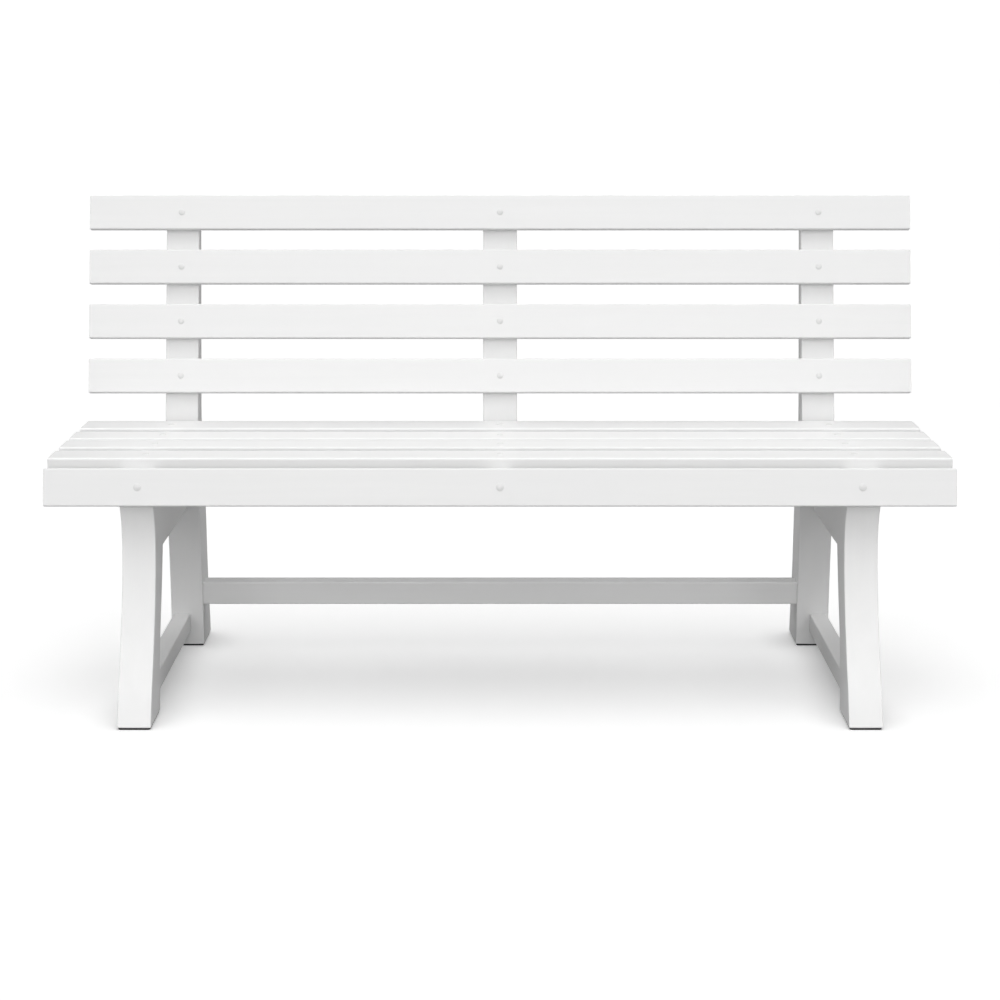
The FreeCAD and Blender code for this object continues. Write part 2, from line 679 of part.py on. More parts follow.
    # low side stretcher with stub tenons
    st = new_body(side + "_side_stretcher_body")
    sk = plane_sketch(st, "profile", "YZ_Plane")
    polygon(sk, [
        (fleg_rear_low(D["side_low"]), D["side_low"]),
        (rleg_front_low(D["side_low"]), D["side_low"]),
        (rleg_front_low(D["side_hi"]), D["side_hi"]),
        (fleg_rear_low(D["side_hi"]), D["side_hi"]),
    ])
    p = pad(st, "thickness", sk, D["side_t"])
    round_all(st, p, D["edge_r"], keep=lambda e: e.BoundBox.YLength > 200.0)
    sk = plane_sketch(st, "tenon_profile", "YZ_Plane")
    t_lo = side_mid - D["tenon_h"] / 2.0
    t_hi = side_mid + D["tenon_h"] / 2.0
    t_front = fleg_rear_low(side_mid) - D["tenon_l"]
    t_rear = rleg_front_low(side_mid) + D["tenon_l"]
    polygon(sk, [(t_front, t_lo), (t_rear, t_lo), (t_rear, t_hi), (t_front, t_hi)])
    pad(st, "tenons", sk, D["tenon_w"])
    put(st, sx, 0.0, 0.0)
    node(st, side + "_side_stretcher")


# centre post: the upper part of the uprights, down to just under the seat
body = leg_body("centre_post_body", [
    [(post_face(D["cpost_foot"]), D["cpost_foot"])],
    [(post_face(D["post_top"]), D["post_top"])],
    [(post_face(D["post_top"]) + D["post_tip"], D["post_top"])],
    [(D["rr_d1"], D["rr_z1"])],
    [(post_face(D["cpost_foot"]) + 52.0, D["cpost_foot"])],
], D["cpost_t"])
put(body, 0.0, 0.0, 0.0)
holes = screw_pilots(ZERO)
holes.append((ZERO, crear_seat, D["crail_bolt_z"], "+y", D["cbore_r"], 0.0, Dim.of(60.0)))
holes.append((ZERO, ZERO, D["crail_bolt_z"], "+y", D["bolt_hole_r"], Dim.of(430.0), Dim.of(120.0)))
node(drill(body, "centre_post", holes), "centre_post")

# centre seat rail: from the apron to the centre post
body = new_body("centre_seat_rail_body")
sk = plane_sketch(body, "profile", "YZ_Plane")
polygon(sk, [
    (apron_back(D["crail_low"]), D["crail_low"]),
    (post_face(D["crail_low"]), D["crail_low"]),
    (post_face(seat_under), seat_under),
    (apron_back(seat_under), seat_under),
])
p = pad(body, "thickness", sk, D["crail_t"])
round_all(body, p, D["edge_r"], keep=lambda e: e.BoundBox.YLength > 200.0)
put(body, 0.0, 0.0, 0.0)
holes = [seat_pilot(ZERO, d) for d in SEAT_D]
holes.append(apron_pilot(ZERO))
holes.append((ZERO, ZERO, D["crail_bolt_z"], "+y", D["bolt_hole_r"], cnut_d, Dim.of(70.0)))
holes.append((ZERO, cnut_d, D["crail_bolt_z"], "+x", D["barrel_hole_r"],
              -(D["barrel_len"] / 2.0) - 0.5, Dim.of(40.0)))
node(drill(body, "centre_seat_rail", holes), "centre_seat_rail")

# long stretcher, square ended between the two uprights
body = new_body("long_stretcher_body")
sk = plane_sketch(body, "section", "YZ_Plane")
polygon(sk, [(D["long_d0"], D["long_low"]), (D["long_d1"], D["long_low"]),
             (D["long_d1"], D["long_hi"]), (D["long_d0"], D["long_hi"])])
long_len = D["rleg_x"] * 2.0 - D["rleg_t"]
p = pad(body, "length", sk, long_len)
round_all(body, p, D["edge_r"], keep=lambda e: e.BoundBox.XLength > 200.0)
put(body, 0.0, 0.0, 0.0)
long_nut_x = long_len / 2.0 - 40.0
holes = []
for how in ("-x", "+x"):
    holes.append((ZERO, long_mid_d, long_mid_z, how, D["bolt_hole_r"], long_nut_x, Dim.of(60.0)))
for sign in (-1.0, 1.0):
    # blind cross holes from the rear face
    holes.append((long_nut_x * sign, long_mid_d, long_mid_z, "+y", D["barrel_hole_r"],
                  -(D["barrel_len"] / 2.0) - 0.5, Dim.of(60.0)))
node(drill(body, "long_stretcher", holes), "long_stretcher")


# ---------------------------------------------------------------- glides
def glide(name, x, d0, d1, thick):
    body = new_body(name + "_body")
    sk = plane_sketch(body, "plan", "XY_Plane")
    hx = thick / 2.0 - D["glide_inset"]
    polygon(sk, [(-hx, d0), (hx, d0), (hx, d1), (-hx, d1)])
    p = body.newObject("PartDesign::Pad", "thickness")
    p.Profile = sk
    p.Length = D["foot_z"].value
    bind(p, "Length", D["foot_z"])
    body.Tip = p
    doc.recompute()
    round_all(body, p, D["glide_r"], keep=lambda e: e.BoundBox.ZLength > 2.0)
    # countersunk holes, wide at the ground
    for i, d in enumerate(glide_spots(d0, d1)):
        sk = plane_sketch(body, "countersink_%d" % i, "YZ_Plane")
        up = D["gs_up"]
        polygon(sk, [(d, -1.0), (d + D["gs_head_r"] + 0.1, -1.0),
                     (d + D["gs_head_r"] + 0.1, up), (d + D["gs_shank_r"] + 0.1, up + 2.0),
                     (d + D["gs_shank_r"] + 0.1, D["foot_z"] + 1.0), (d, D["foot_z"] + 1.0)])
        before = body.Tip.Shape.Volume
        g = body.newObject("PartDesign::Groove", "screw_seat_%d" % i)
        g.Profile = sk
        axis = sk.addGeometry(Part.LineSegment(Vector(d.value, -1, 0), Vector(d.value, 5, 0)), True)
        sk.addConstraint(Sketcher.Constraint("Vertical", axis))
        pin_point(sk, axis, 1, d, Dim.of(-1.0), "axis")
        c = sk.addConstraint(Sketcher.Constraint("DistanceY", axis, 1, axis, 2, 6.0))
        g.ReferenceAxis = (sk, ["Axis0"])
        g.Angle = 360.0
        body.Tip = g
        doc.recompute()
        if not g.Shape.Volume < before - 1.0:
            raise RuntimeError("countersink cut nothing from " + name)
    put(body, x, 0.0, 0.0)
    node(body, name)


for side, sign in (("left", -1.0), ("right", 1.0)):
    glide(side + "_front_glide", D["fleg_x"] * sign, FRONT_GLIDE[0], FRONT_GLIDE[1], D["fleg_t"])
    glide(side + "_rear_glide", D["rleg_x"] * sign, REAR_GLIDE[0], REAR_GLIDE[1], D["rleg_t"])


# ---------------------------------------------------------------- fasteners
def turned(name, profile):
    """A turned piece: its profile, radius against height, spun about +Z."""
    body = new_body(name)
    sk = plane_sketch(body, "profile", "XZ_Plane")
    outline(sk, profile)
    r = body.newObject("PartDesign::Revolution", "turned")
    r.Profile = sk
    r.ReferenceAxis = (sk, ["V_Axis"])
    r.Angle = 360.0
    body.Tip = r
    doc.recompute()
    return body


def screw_profile(head_r, tall, shank_r, length):
    """Dome head over a shank with a pointed end. The head's seat is at 0
    and the shank runs up, into the work."""
    return [
        [(ZERO, -tall), (head_r * 0.62, -tall)],
        [(head_r, -(tall * 0.3))],
        [(head_r, ZERO)],
        [(shank_r, ZERO)],
        [(shank_r, length - D["tip_len"])],
        [(0.3, length)],
        [(ZERO, length)],
    ]


def bolt_profile(length):
    return [
        [(ZERO, -(D["bolt_head_tall"] - D["socket_deep"]))],
        [(D["socket_r"], -(D["bolt_head_tall"] - D["socket_deep"]))],
        [(D["socket_r"], -D["bolt_head_tall"])],
        [(D["bolt_head_r"] - 0.6, -D["bolt_head_tall"])],
        [(D["bolt_head_r"], -(D["bolt_head_tall"] - 0.6))],
        [(D["bolt_head_r"], ZERO)],
        [(D["bolt_r"], ZERO)],
        [(D["bolt_r"], length - 1.0)],
        [(D["bolt_r"] - 1.0, length)],
        [(ZERO, length)],
    ]


def csk_profile():
    return [
        [(ZERO, ZERO)],
        [(D["gs_head_r"], ZERO)],
        [(D["gs_head_r"] * 1.0, 0.1)],
        [(D["gs_shank_r"], 2.0)],
        [(D["gs_shank_r"], D["gs_len"] - 3.0)],
        [(0.3, D["gs_len"])],
        [(ZERO, D["gs_len"])],
    ]


def group(name, makers):
    """Several separate solids in one node."""
    if len(makers) == 1:
        return node(makers[0], name)
    c = doc.addObject("Part::Compound", name + "_set")
    c.Links = makers
    doc.recompute()
    return node(c, name)


SERIAL = [0]


def fasten(profile, x, depth, z, how, start=0.0):
    SERIAL[0] += 1
    body = turned("fastener_%03d" % SERIAL[0], profile)
    pos, turn = start_point(x, depth, z, how, start)
    turn_to(body, pos, turn)
    return body


slat_screw = screw_profile(D["head_r"], D["head_tall"], D["shank_r"], D["shank_len"])
apron_screw = screw_profile(D["apron_head_r"], D["head_tall"], D["shank_r"], D["shank_len"])

for side, bx, sx in (("left", -D["rleg_x"], -D["rail_x"]), ("centre", ZERO, ZERO),
                     ("right", D["rleg_x"], D["rail_x"])):
    group("back_screws_" + side, [fasten(slat_screw, bx, d, z, "back") for d, z in BACK])
    group("seat_screws_" + side, [fasten(slat_screw, sx, d, D["seat_top"], "-z") for d in SEAT_D])
group("apron_screws", [fasten(apron_screw, x, D["apron_depth"], D["apron_z"], "apron")
                       for x in (-D["apron_screw_x"], ZERO, D["apron_screw_x"])])


def washer_at(x, depth, z, how, start):
    """Flat washer with its far face on the work."""
    SERIAL[0] += 1
    body = new_body("washer_%03d" % SERIAL[0])
    sk = plane_sketch(body, "plan", "XY_Plane")
    circles(sk, [(0.0, 0.0, D["washer_r"]), (0.0, 0.0, D["bolt_r"] + 0.2)])
    p = body.newObject("PartDesign::Pad", "thickness")
    p.Profile = sk
    p.Length = D["washer_t"].value
    bind(p, "Length", D["washer_t"])
    body.Tip = p
    doc.recompute()
    pos, turn = start_point(x, depth, z, how, Dim.of(start) - D["washer_t"])
    turn_to(body, pos, turn)
    return body


def rearward_bolt(x, seat_d, z, nut_d):
    """Bolt whose head bears towards -Y, driven from the rear."""
    SERIAL[0] += 1
    length = seat_d + D["washer_t"] - nut_d + 5.0
    body = turned("fastener_%03d" % SERIAL[0], bolt_profile(length))
    pos = [Dim.of(x), seat_d + D["washer_t"] - D["origin_depth"], Dim.of(z)]
    turn_to(body, pos, (Vector(1, 0, 0), Dim.of(90.0)))
    return body


def rear_washer(x, seat_d, z):
    SERIAL[0] += 1
    body = new_body("washer_%03d" % SERIAL[0])
    sk = plane_sketch(body, "plan", "XY_Plane")
    circles(sk, [(0.0, 0.0, D["washer_r"]), (0.0, 0.0, D["bolt_r"] + 0.2)])
    p = body.newObject("PartDesign::Pad", "thickness")
    p.Profile = sk
    p.Length = D["washer_t"].value
    bind(p, "Length", D["washer_t"])
    body.Tip = p
    doc.recompute()
    pos = [Dim.of(x), seat_d + D["washer_t"] - D["origin_depth"], Dim.of(z)]
    turn_to(body, pos, (Vector(1, 0, 0), Dim.of(90.0)))
    return body


def barrel(x, depth, z, how):
    """Barrel nut: a cross cylinder with a tapped cross hole on its middle."""
    SERIAL[0] += 1
    base = doc.addObject("Part::Cylinder", "barrel_%03d" % SERIAL[0])
    base.Radius = D["barrel_r"].value
    base.Height = D["barrel_len"].value
    bind(base, "Radius", D["barrel_r"])
    bind(base, "Height", D["barrel_len"])
    pos, turn = start_point(x, depth, z, how[0], -(D["barrel_len"] / 2.0))
    turn_to(base, pos, turn)
    hole = (x, depth, z, how[1], D["bolt_r"] + 0.05, Dim.of(-20.0), Dim.of(40.0))
    return drill(base, "barrel_%03d" % SERIAL[0], [hole])


bolts, washers, nuts, dowels = [], [], [], []
for side, sign in (("left", -1.0), ("right", 1.0)):
    sx = D["rail_x"] * sign
    seat = front_bolt_seat - D["washer_t"]
    length = front_nut_d - seat + 5.0
    group(side + "_front_bolt",
          [fasten(bolt_profile(length), sx, seat, D["front_bolt_z"], "+y")])
    washers.append(washer_at(sx, front_bolt_seat, D["front_bolt_z"], "+y", 0.0))
    nuts.append(barrel(sx, front_nut_d, D["front_bolt_z"], ("+x", "+y")))
    pair = []
    for z, seat_d in rear_bolts:
        pair.append(rearward_bolt(sx, seat_d, z, rear_nut_d))
        washers.append(rear_washer(sx, seat_d, z))
        nuts.append(barrel(sx, rear_nut_d, z, ("+x", "+y")))
    group(side + "_rear_bolts", pair)
    for z in dowel_front_z:
        SERIAL[0] += 1
        dw = doc.addObject("Part::Cylinder", "dowel_%03d" % SERIAL[0])
        dw.Radius = D["dowel_r"].value
        dw.Height = D["dowel_len"].value
        bind(dw, "Radius", D["dowel_r"])
        bind(dw, "Height", D["dowel_len"])
        pos, turn = start_point(sx, fleg_rear(z), z, "+y", -(D["dowel_len"] / 2.0))
        turn_to(dw, pos, turn)
        dowels.append(dw)
doc.recompute()
group("rail_barrel_nuts", nuts)
group("rail_dowels", dowels)
group("centre_post_bolt", [rearward_bolt(ZERO, crear_seat, D["crail_bolt_z"], cnut_d)])
group("centre_barrel_nut", [barrel(ZERO, cnut_d, D["crail_bolt_z"], ("+x", "+y"))])
washers.append(rear_washer(ZERO, crear_seat, D["crail_bolt_z"]))

# long stretcher bolts, driven inwards from the outer faces of the uprights
pair, nuts = [], []
for sign, how in ((-1.0, "+x"), (1.0, "-x")):
    seat = (long_seat + D["washer_t"]) * sign
    length = long_seat + D["washer_t"] - long_nut_x + 5.0
    pair.append(fasten(bolt_profile(length), seat, long_mid_d, long_mid_z, how))
    washers.append(washer_at(long_seat * sign, long_mid_d, long_mid_z, how, 0.0))
    nuts.append(barrel(long_nut_x * sign, long_mid_d, long_mid_z, ("+y", "+x")))
group("long_stretcher_bolts", pair)
group("long_stretcher_barrel_nuts", nuts)
group("frame_bolt_washers", washers)

items = []
for side, sign in (("left", -1.0), ("right", 1.0)):
    for x, span in ((D["fleg_x"] * sign, FRONT_GLIDE), (D["rleg_x"] * sign, REAR_GLIDE)):
        for d in glide_spots(*span):
            items.append(fasten(csk_profile(), x, d, D["gs_up"], "+z"))
group("glide_screws", items)


# ---------------------------------------------------------------- checks
doc.recompute()
bad = []
for obj in doc.Objects:
    if "Invalid" in obj.State or "Error" in obj.State:
        bad.append("%s %s" % (obj.Label, obj.State))
for name, obj in NODES:
    shape = obj.Shape
    if shape.isNull() or not shape.isValid() or not shape.Solids:
        bad.append("%s has a bad shape" % name)
if bad:
    raise RuntimeError("; ".join(bad))
names = [name for name, obj in NODES]
if len(set(names)) != len(names) or len(names) > 60:
    raise RuntimeError("node names")

box = FreeCAD.BoundBox()
for name, obj in NODES:
    box.add(obj.Shape.BoundBox)
print("nodes", len(NODES), "solids", sum(len(o.Shape.Solids) for n, o in NODES))
print("box x %.2f..%.2f y %.2f..%.2f z %.2f..%.2f" % (box.XMin, box.XMax, box.YMin, box.YMax,
                                                     box.ZMin, box.ZMax))
print("origin_depth should move by %.3f" % ((box.YMin + box.YMax) / 2.0))

for old in os.listdir("parts"):
    if old.endswith(".step"):
        os.remove(os.path.join("parts", old))
for name, obj in NODES:
    obj.Shape.exportStep(os.path.join("parts", name + ".step"))
print("written", len(NODES))
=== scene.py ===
import math

import bmesh
import bpy
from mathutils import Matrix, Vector

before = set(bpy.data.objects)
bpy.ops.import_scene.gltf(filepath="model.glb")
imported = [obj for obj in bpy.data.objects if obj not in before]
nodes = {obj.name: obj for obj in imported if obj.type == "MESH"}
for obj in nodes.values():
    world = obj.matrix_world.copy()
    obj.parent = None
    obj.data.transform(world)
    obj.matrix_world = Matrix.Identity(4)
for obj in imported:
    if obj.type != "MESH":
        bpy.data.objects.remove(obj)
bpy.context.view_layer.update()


scene = bpy.context.scene

# ------------------------------------------------------------------ camera
CAM_Y = -4.12289
cam_data = bpy.data.cameras.new("camera")
cam_data.sensor_width = 36.0
cam_data.lens = 85.0
cam_data.clip_start = 0.05
cam_data.clip_end = 400.0
cam = bpy.data.objects.new("camera", cam_data)
scene.collection.objects.link(cam)
cam.location = (0.0, CAM_Y, 1.117)
cam.rotation_euler = (math.radians(90.0 - 10.88), 0.0, 0.0)
scene.camera = cam

# ------------------------------------------------------------------ light
scene.view_settings.view_transform = "Standard"
scene.view_settings.look = "None"
scene.view_settings.exposure = 0.0
scene.view_settings.gamma = 1.0

AMBIENT = 0.09          # radiance of the studio's dim surround
HORIZON = 1.1           # radiance of the bright band behind the floor's far edge
SUNS = [
    # name, azimuth from the front towards +X, elevation, angular size, strength
    ("overhead", 0.0, 90.0, 70.0, 0.465),
    ("front_key", 0.0, 40.0, 60.0, 0.350),
    ("front_low", 0.0, 18.0, 36.0, 0.300),
    ("right_fill", 90.0, 36.0, 60.0, 0.275),
    ("left_fill", -90.0, 36.0, 60.0, 0.275),
]


def node(tree, kind, **values):
    n = tree.nodes.new(kind)
    for key, value in values.items():
        if hasattr(n, key):
            setattr(n, key, value)
        else:
            n.inputs[key.replace("_", " ")].default_value = value
    return n


def surround():
    """Dim studio with a thin bright band at the horizon, where the sweep of
    the backdrop would be. The camera sees the white backdrop all round."""
    world = bpy.data.worlds.new("studio")
    scene.world = world
    world.use_nodes = True
    tree = world.node_tree
    back = tree.nodes["Background"]
    coord = tree.nodes.new("ShaderNodeTexCoord")
    split = tree.nodes.new("ShaderNodeSeparateXYZ")
    tree.links.new(coord.outputs["Generated"], split.inputs[0])
    ramp = tree.nodes.new("ShaderNodeValToRGB")
    ramp.color_ramp.interpolation = "EASE"
    a, b = ramp.color_ramp.elements
    a.position, b.position = 0.03, 0.11
    k = AMBIENT / HORIZON
    a.color = (1.0, 1.0, 1.0, 1.0)
    b.color = (k, k, k, 1.0)
    tree.links.new(split.outputs["Z"], ramp.inputs[0])
    tree.links.new(ramp.outputs[0], back.inputs["Color"])
    back.inputs["Strength"].default_value = HORIZON
    seen = tree.nodes.new("ShaderNodeBackground")
    seen.inputs["Color"].default_value = (1.0, 1.0, 1.0, 1.0)
    seen.inputs["Strength"].default_value = HORIZON
    ray = tree.nodes.new("ShaderNodeLightPath")
    pick = tree.nodes.new("ShaderNodeMixShader")
    tree.links.new(ray.outputs["Is Camera Ray"], pick.inputs[0])
    tree.links.new(back.outputs[0], pick.inputs[1])
    tree.links.new(seen.outputs[0], pick.inputs[2])
    tree.links.new(pick.outputs[0], tree.nodes["World Output"].inputs["Surface"])


surround()


def sun(name, azimuth, elevation, angle, strength):
    light = bpy.data.lights.new(name, "SUN")
    light.angle = math.radians(angle)
    light.energy = strength * math.pi
    obj = bpy.data.objects.new(name, light)
    a, e = math.radians(azimuth), math.radians(elevation)
    towards = Vector((math.sin(a) * math.cos(e), -math.cos(a) * math.cos(e), math.sin(e)))
    obj.rotation_euler = towards.to_track_quat("Z", "Y").to_euler()
    scene.collection.objects.link(obj)
    return obj


suns = [sun(*row) for row in SUNS]

FLOOR_SEEN = 0.9        # the pale floor as the camera sees it
FLOOR_LIGHT = 0.53      # the ceiling light that only the floor takes
FLOOR_PAINTED_GLOW = 0.48       # painted light: a glow that only the camera sees on the floor, though the floor is no lamp
PAINTED_SHADE_REACH = 0.075      # how far the painted shade around the feet and under the bench dims that glow
FLOOR_BOUNCE = 0.74     # what it gives back to the bench, so that shade stays in its lower parts


def stage_floor():
    bm = bmesh.new()
    n, size = 10, 160.0
    grid = [[bm.verts.new(((i / n - 0.5) * size, (j / n - 0.5) * size, 0.0)) for j in range(n + 1)]
            for i in range(n + 1)]
    for i in range(n):
        for j in range(n):
            bm.faces.new((grid[i][j], grid[i + 1][j], grid[i + 1][j + 1], grid[i][j + 1]))
    mesh = bpy.data.meshes.new("floor")
    bm.to_mesh(mesh)
    bm.free()
    obj = bpy.data.objects.new("floor", mesh)
    scene.collection.objects.link(obj)
    mat = bpy.data.materials.new("floor_paint")
    mat.use_nodes = True
    bsdf = mat.node_tree.nodes["Principled BSDF"]
    ray = mat.node_tree.nodes.new("ShaderNodeLightPath")
    tone = mat.node_tree.nodes.new("ShaderNodeMix")
    tone.data_type = "RGBA"
    tone.inputs[6].default_value = (FLOOR_BOUNCE, FLOOR_BOUNCE, FLOOR_BOUNCE, 1.0)
    tone.inputs[7].default_value = (FLOOR_SEEN, FLOOR_SEEN, FLOOR_SEEN, 1.0)
    mat.node_tree.links.new(ray.outputs["Is Camera Ray"], tone.inputs[0])
    mat.node_tree.links.new(tone.outputs[2], bsdf.inputs["Base Color"])
    # painted light: the floor glows for the camera alone, and ambient occlusion darkens that glow
    # into painted shade around the feet and under the bench
    painted_glow = mat.node_tree.nodes.new("ShaderNodeMath")
    painted_glow.operation = "MULTIPLY"
    painted_shade = mat.node_tree.nodes.new("ShaderNodeAmbientOcclusion")
    painted_shade.inputs["Distance"].default_value = PAINTED_SHADE_REACH
    painted_shade.samples = 8
    level = mat.node_tree.nodes.new("ShaderNodeMapRange")
    level.inputs["From Min"].default_value = 0.4
    level.inputs["From Max"].default_value = 1.0
    level.inputs["To Min"].default_value = FLOOR_PAINTED_GLOW * 0.5
    level.inputs["To Max"].default_value = FLOOR_PAINTED_GLOW
    mat.node_tree.links.new(painted_shade.outputs["AO"], level.inputs["Value"])
    mat.node_tree.links.new(level.outputs[0], painted_glow.inputs[1])
    mat.node_tree.links.new(ray.outputs["Is Camera Ray"], painted_glow.inputs[0])
    bsdf.inputs["Emission Color"].default_value = (1.0, 1.0, 1.0, 1.0)
    mat.node_tree.links.new(painted_glow.outputs[0], bsdf.inputs["Emission Strength"])
    bsdf.inputs["Roughness"].default_value = 0.9
    bsdf.inputs["Specular IOR Level"].default_value = 0.1
    # clear from below, so that the underside can be looked at
    face = mat.node_tree.nodes.new("ShaderNodeNewGeometry")
    clear = mat.node_tree.nodes.new("ShaderNodeBsdfTransparent")
    pick = mat.node_tree.nodes.new("ShaderNodeMixShader")
    mat.node_tree.links.new(face.outputs["Backfacing"], pick.inputs[0])
    mat.node_tree.links.new(bsdf.outputs[0], pick.inputs[1])
    mat.node_tree.links.new(clear.outputs[0], pick.inputs[2])
    out = mat.node_tree.nodes["Material Output"]
    mat.node_tree.links.new(pick.outputs[0], out.inputs["Surface"])
    mesh.materials.append(mat)
    return obj


def all_but(name, obj):
    """A light-linking group that takes everything except one object."""
    group = bpy.data.collections.new(name)
    group.objects.link(obj)
    group.collection_objects[0].light_linking.link_state = "EXCLUDE"
    return group


# the bench is lit from the front and sides, the floor from straight above, so
# that the bench's shade lies softly right under the seat
floor = stage_floor()
not_floor = all_but("not_floor", floor)
for lamp in suns:
    lamp.light_linking.receiver_collection = not_floor
ceiling = sun("floor_light", 0.0, 84.0, 66.0, FLOOR_LIGHT)
floor_only = bpy.data.collections.new("floor_only")
floor_only.objects.link(floor)
ceiling.light_linking.receiver_collection = floor_only
ceiling.light_linking.blocker_collection = all_but("not_stretcher", nodes["long_stretcher"])


# ------------------------------------------------------------------ materials
class Mat:
    """A Principled material and short calls for its nodes."""

    def __init__(self, name):
        self.mat = bpy.data.materials.new(name)
        self.mat.use_nodes = True
        self.tree = self.mat.node_tree
        self.bsdf = self.tree.nodes["Principled BSDF"]
        self.coord = self.tree.nodes.new("ShaderNodeTexCoord").outputs["Object"]

    def link(self, a, b):
        self.tree.links.new(a, b)

    def space(self, scale, shift=(0.0, 0.0, 0.0)):
        m = self.tree.nodes.new("ShaderNodeMapping")
        m.inputs["Location"].default_value = shift
        m.inputs["Scale"].default_value = scale
        self.link(self.coord, m.inputs["Vector"])
        return m.outputs[0]

    def noise(self, vec, scale, detail=3.0, rough=0.5, distort=0.0):
        n = self.tree.nodes.new("ShaderNodeTexNoise")
        n.inputs["Scale"].default_value = scale
        n.inputs["Detail"].default_value = detail
        n.inputs["Roughness"].default_value = rough
        n.inputs["Distortion"].default_value = distort
        self.link(vec, n.inputs["Vector"])
        return n.outputs[0]

    def cells(self, vec, scale):
        n = self.tree.nodes.new("ShaderNodeTexVoronoi")
        n.inputs["Scale"].default_value = scale
        self.link(vec, n.inputs["Vector"])
        return n.outputs["Distance"]

    def span(self, value, a, b, c, d):
        """Map value from a..b to c..d, clamped."""
        n = self.tree.nodes.new("ShaderNodeMapRange")
        n.inputs["From Min"].default_value = a
        n.inputs["From Max"].default_value = b
        n.inputs["To Min"].default_value = c
        n.inputs["To Max"].default_value = d
        self.link(value, n.inputs["Value"])
        return n.outputs[0]

    def math(self, op, a, b):
        n = self.tree.nodes.new("ShaderNodeMath")
        n.operation = op
        for i, v in enumerate((a, b)):
            if isinstance(v, float):
                n.inputs[i].default_value = v
            else:
                self.link(v, n.inputs[i])
        return n.outputs[0]

    def mix(self, fac, a, b, mode="MIX"):
        n = self.tree.nodes.new("ShaderNodeMix")
        n.data_type = "RGBA"
        n.blend_type = mode
        for sock, v in ((n.inputs[0], fac), (n.inputs[6], a), (n.inputs[7], b)):
            if isinstance(v, (int, float)):
                sock.default_value = v
            elif isinstance(v, tuple):
                sock.default_value = (*v, 1.0)
            else:
                self.link(v, sock)
        return n.outputs[2]

    def edges(self, radius, lo, hi):
        """1 on outer and inner edges, 0 on flats."""
        bev = self.tree.nodes.new("ShaderNodeBevel")
        bev.samples = 4
        bev.inputs["Radius"].default_value = radius
        geo = self.tree.nodes.new("ShaderNodeNewGeometry")
        dot = self.tree.nodes.new("ShaderNodeVectorMath")
        dot.operation = "DOT_PRODUCT"
        self.link(bev.outputs[0], dot.inputs[0])
        self.link(geo.outputs["Normal"], dot.inputs[1])
        return self.span(dot.outputs["Value"], lo, hi, 1.0, 0.0)

    def bump(self, height, strength, distance, normal=None):
        n = self.tree.nodes.new("ShaderNodeBump")
        n.inputs["Strength"].default_value = strength
        n.inputs["Distance"].default_value = distance
        self.link(height, n.inputs["Height"])
        if normal is not None:
            self.link(normal, n.inputs["Normal"])
        return n.outputs[0]


LUMBER = (0.722, 0.722, 0.720)


def lumber(name, axis, seed):
    """White recycled-plastic lumber: satin skin with a faint drawn grain along
    the board, a pebbled micro texture, a few pale flecks, and edges that are
    rubbed smoother and slightly paler."""
    m = Mat(name)
    long_, cross = 1.6, 34.0
    scale = tuple(long_ if i == axis else cross for i in range(3))
    shift = (seed * 3.17, seed * 1.73, seed * 5.41)
    along = m.space(scale, shift)
    free = m.space((1.0, 1.0, 1.0), shift)
    streak = m.noise(along, 1.0, detail=5.0, rough=0.62, distort=0.35)
    fine_scale = tuple(7.0 if i == axis else 300.0 for i in range(3))
    hair = m.noise(m.space(fine_scale, shift), 1.0, detail=4.0, rough=0.6)
    cloud = m.noise(free, 4.0, detail=2.0)
    pebble = m.noise(free, 900.0, detail=2.0, rough=0.55)
    fleck = m.span(m.cells(free, 210.0), 0.10, 0.16, 1.0, 0.0)
    fleck_where = m.span(m.noise(free, 60.0, detail=1.0), 0.58, 0.66, 0.0, 1.0)
    fleck = m.math("MULTIPLY", fleck, fleck_where)
    edge = m.edges(0.0022, 0.90, 0.995)

    base = m.mix(m.span(streak, 0.35, 0.65, 0.0, 1.0),
                 tuple(c * 0.982 for c in LUMBER), tuple(c * 1.012 for c in LUMBER))
    base = m.mix(m.span(cloud, 0.35, 0.65, 0.0, 0.5), base, (0.712, 0.713, 0.714))
    base = m.mix(m.math("MULTIPLY", fleck, 0.28), base, (0.655, 0.655, 0.650))
    base = m.mix(m.math("MULTIPLY", edge, 0.30), base, (0.77, 0.77, 0.77))
    m.link(base, m.bsdf.inputs["Base Color"])

    rough = m.span(streak, 0.3, 0.7, 0.50, 0.60)
    rough = m.math("ADD", rough, m.span(hair, 0.3, 0.7, -0.03, 0.03))
    rough = m.math("SUBTRACT", rough, m.math("MULTIPLY", edge, 0.10))
    m.link(rough, m.bsdf.inputs["Roughness"])
    m.bsdf.inputs["Specular IOR Level"].default_value = 0.42

    n1 = m.bump(streak, 0.35, 0.00035)
    n2 = m.bump(hair, 0.30, 0.00012, n1)
    n3 = m.bump(pebble, 0.35, 0.00005, n2)
    m.link(n3, m.bsdf.inputs["Normal"])
    return m.mat


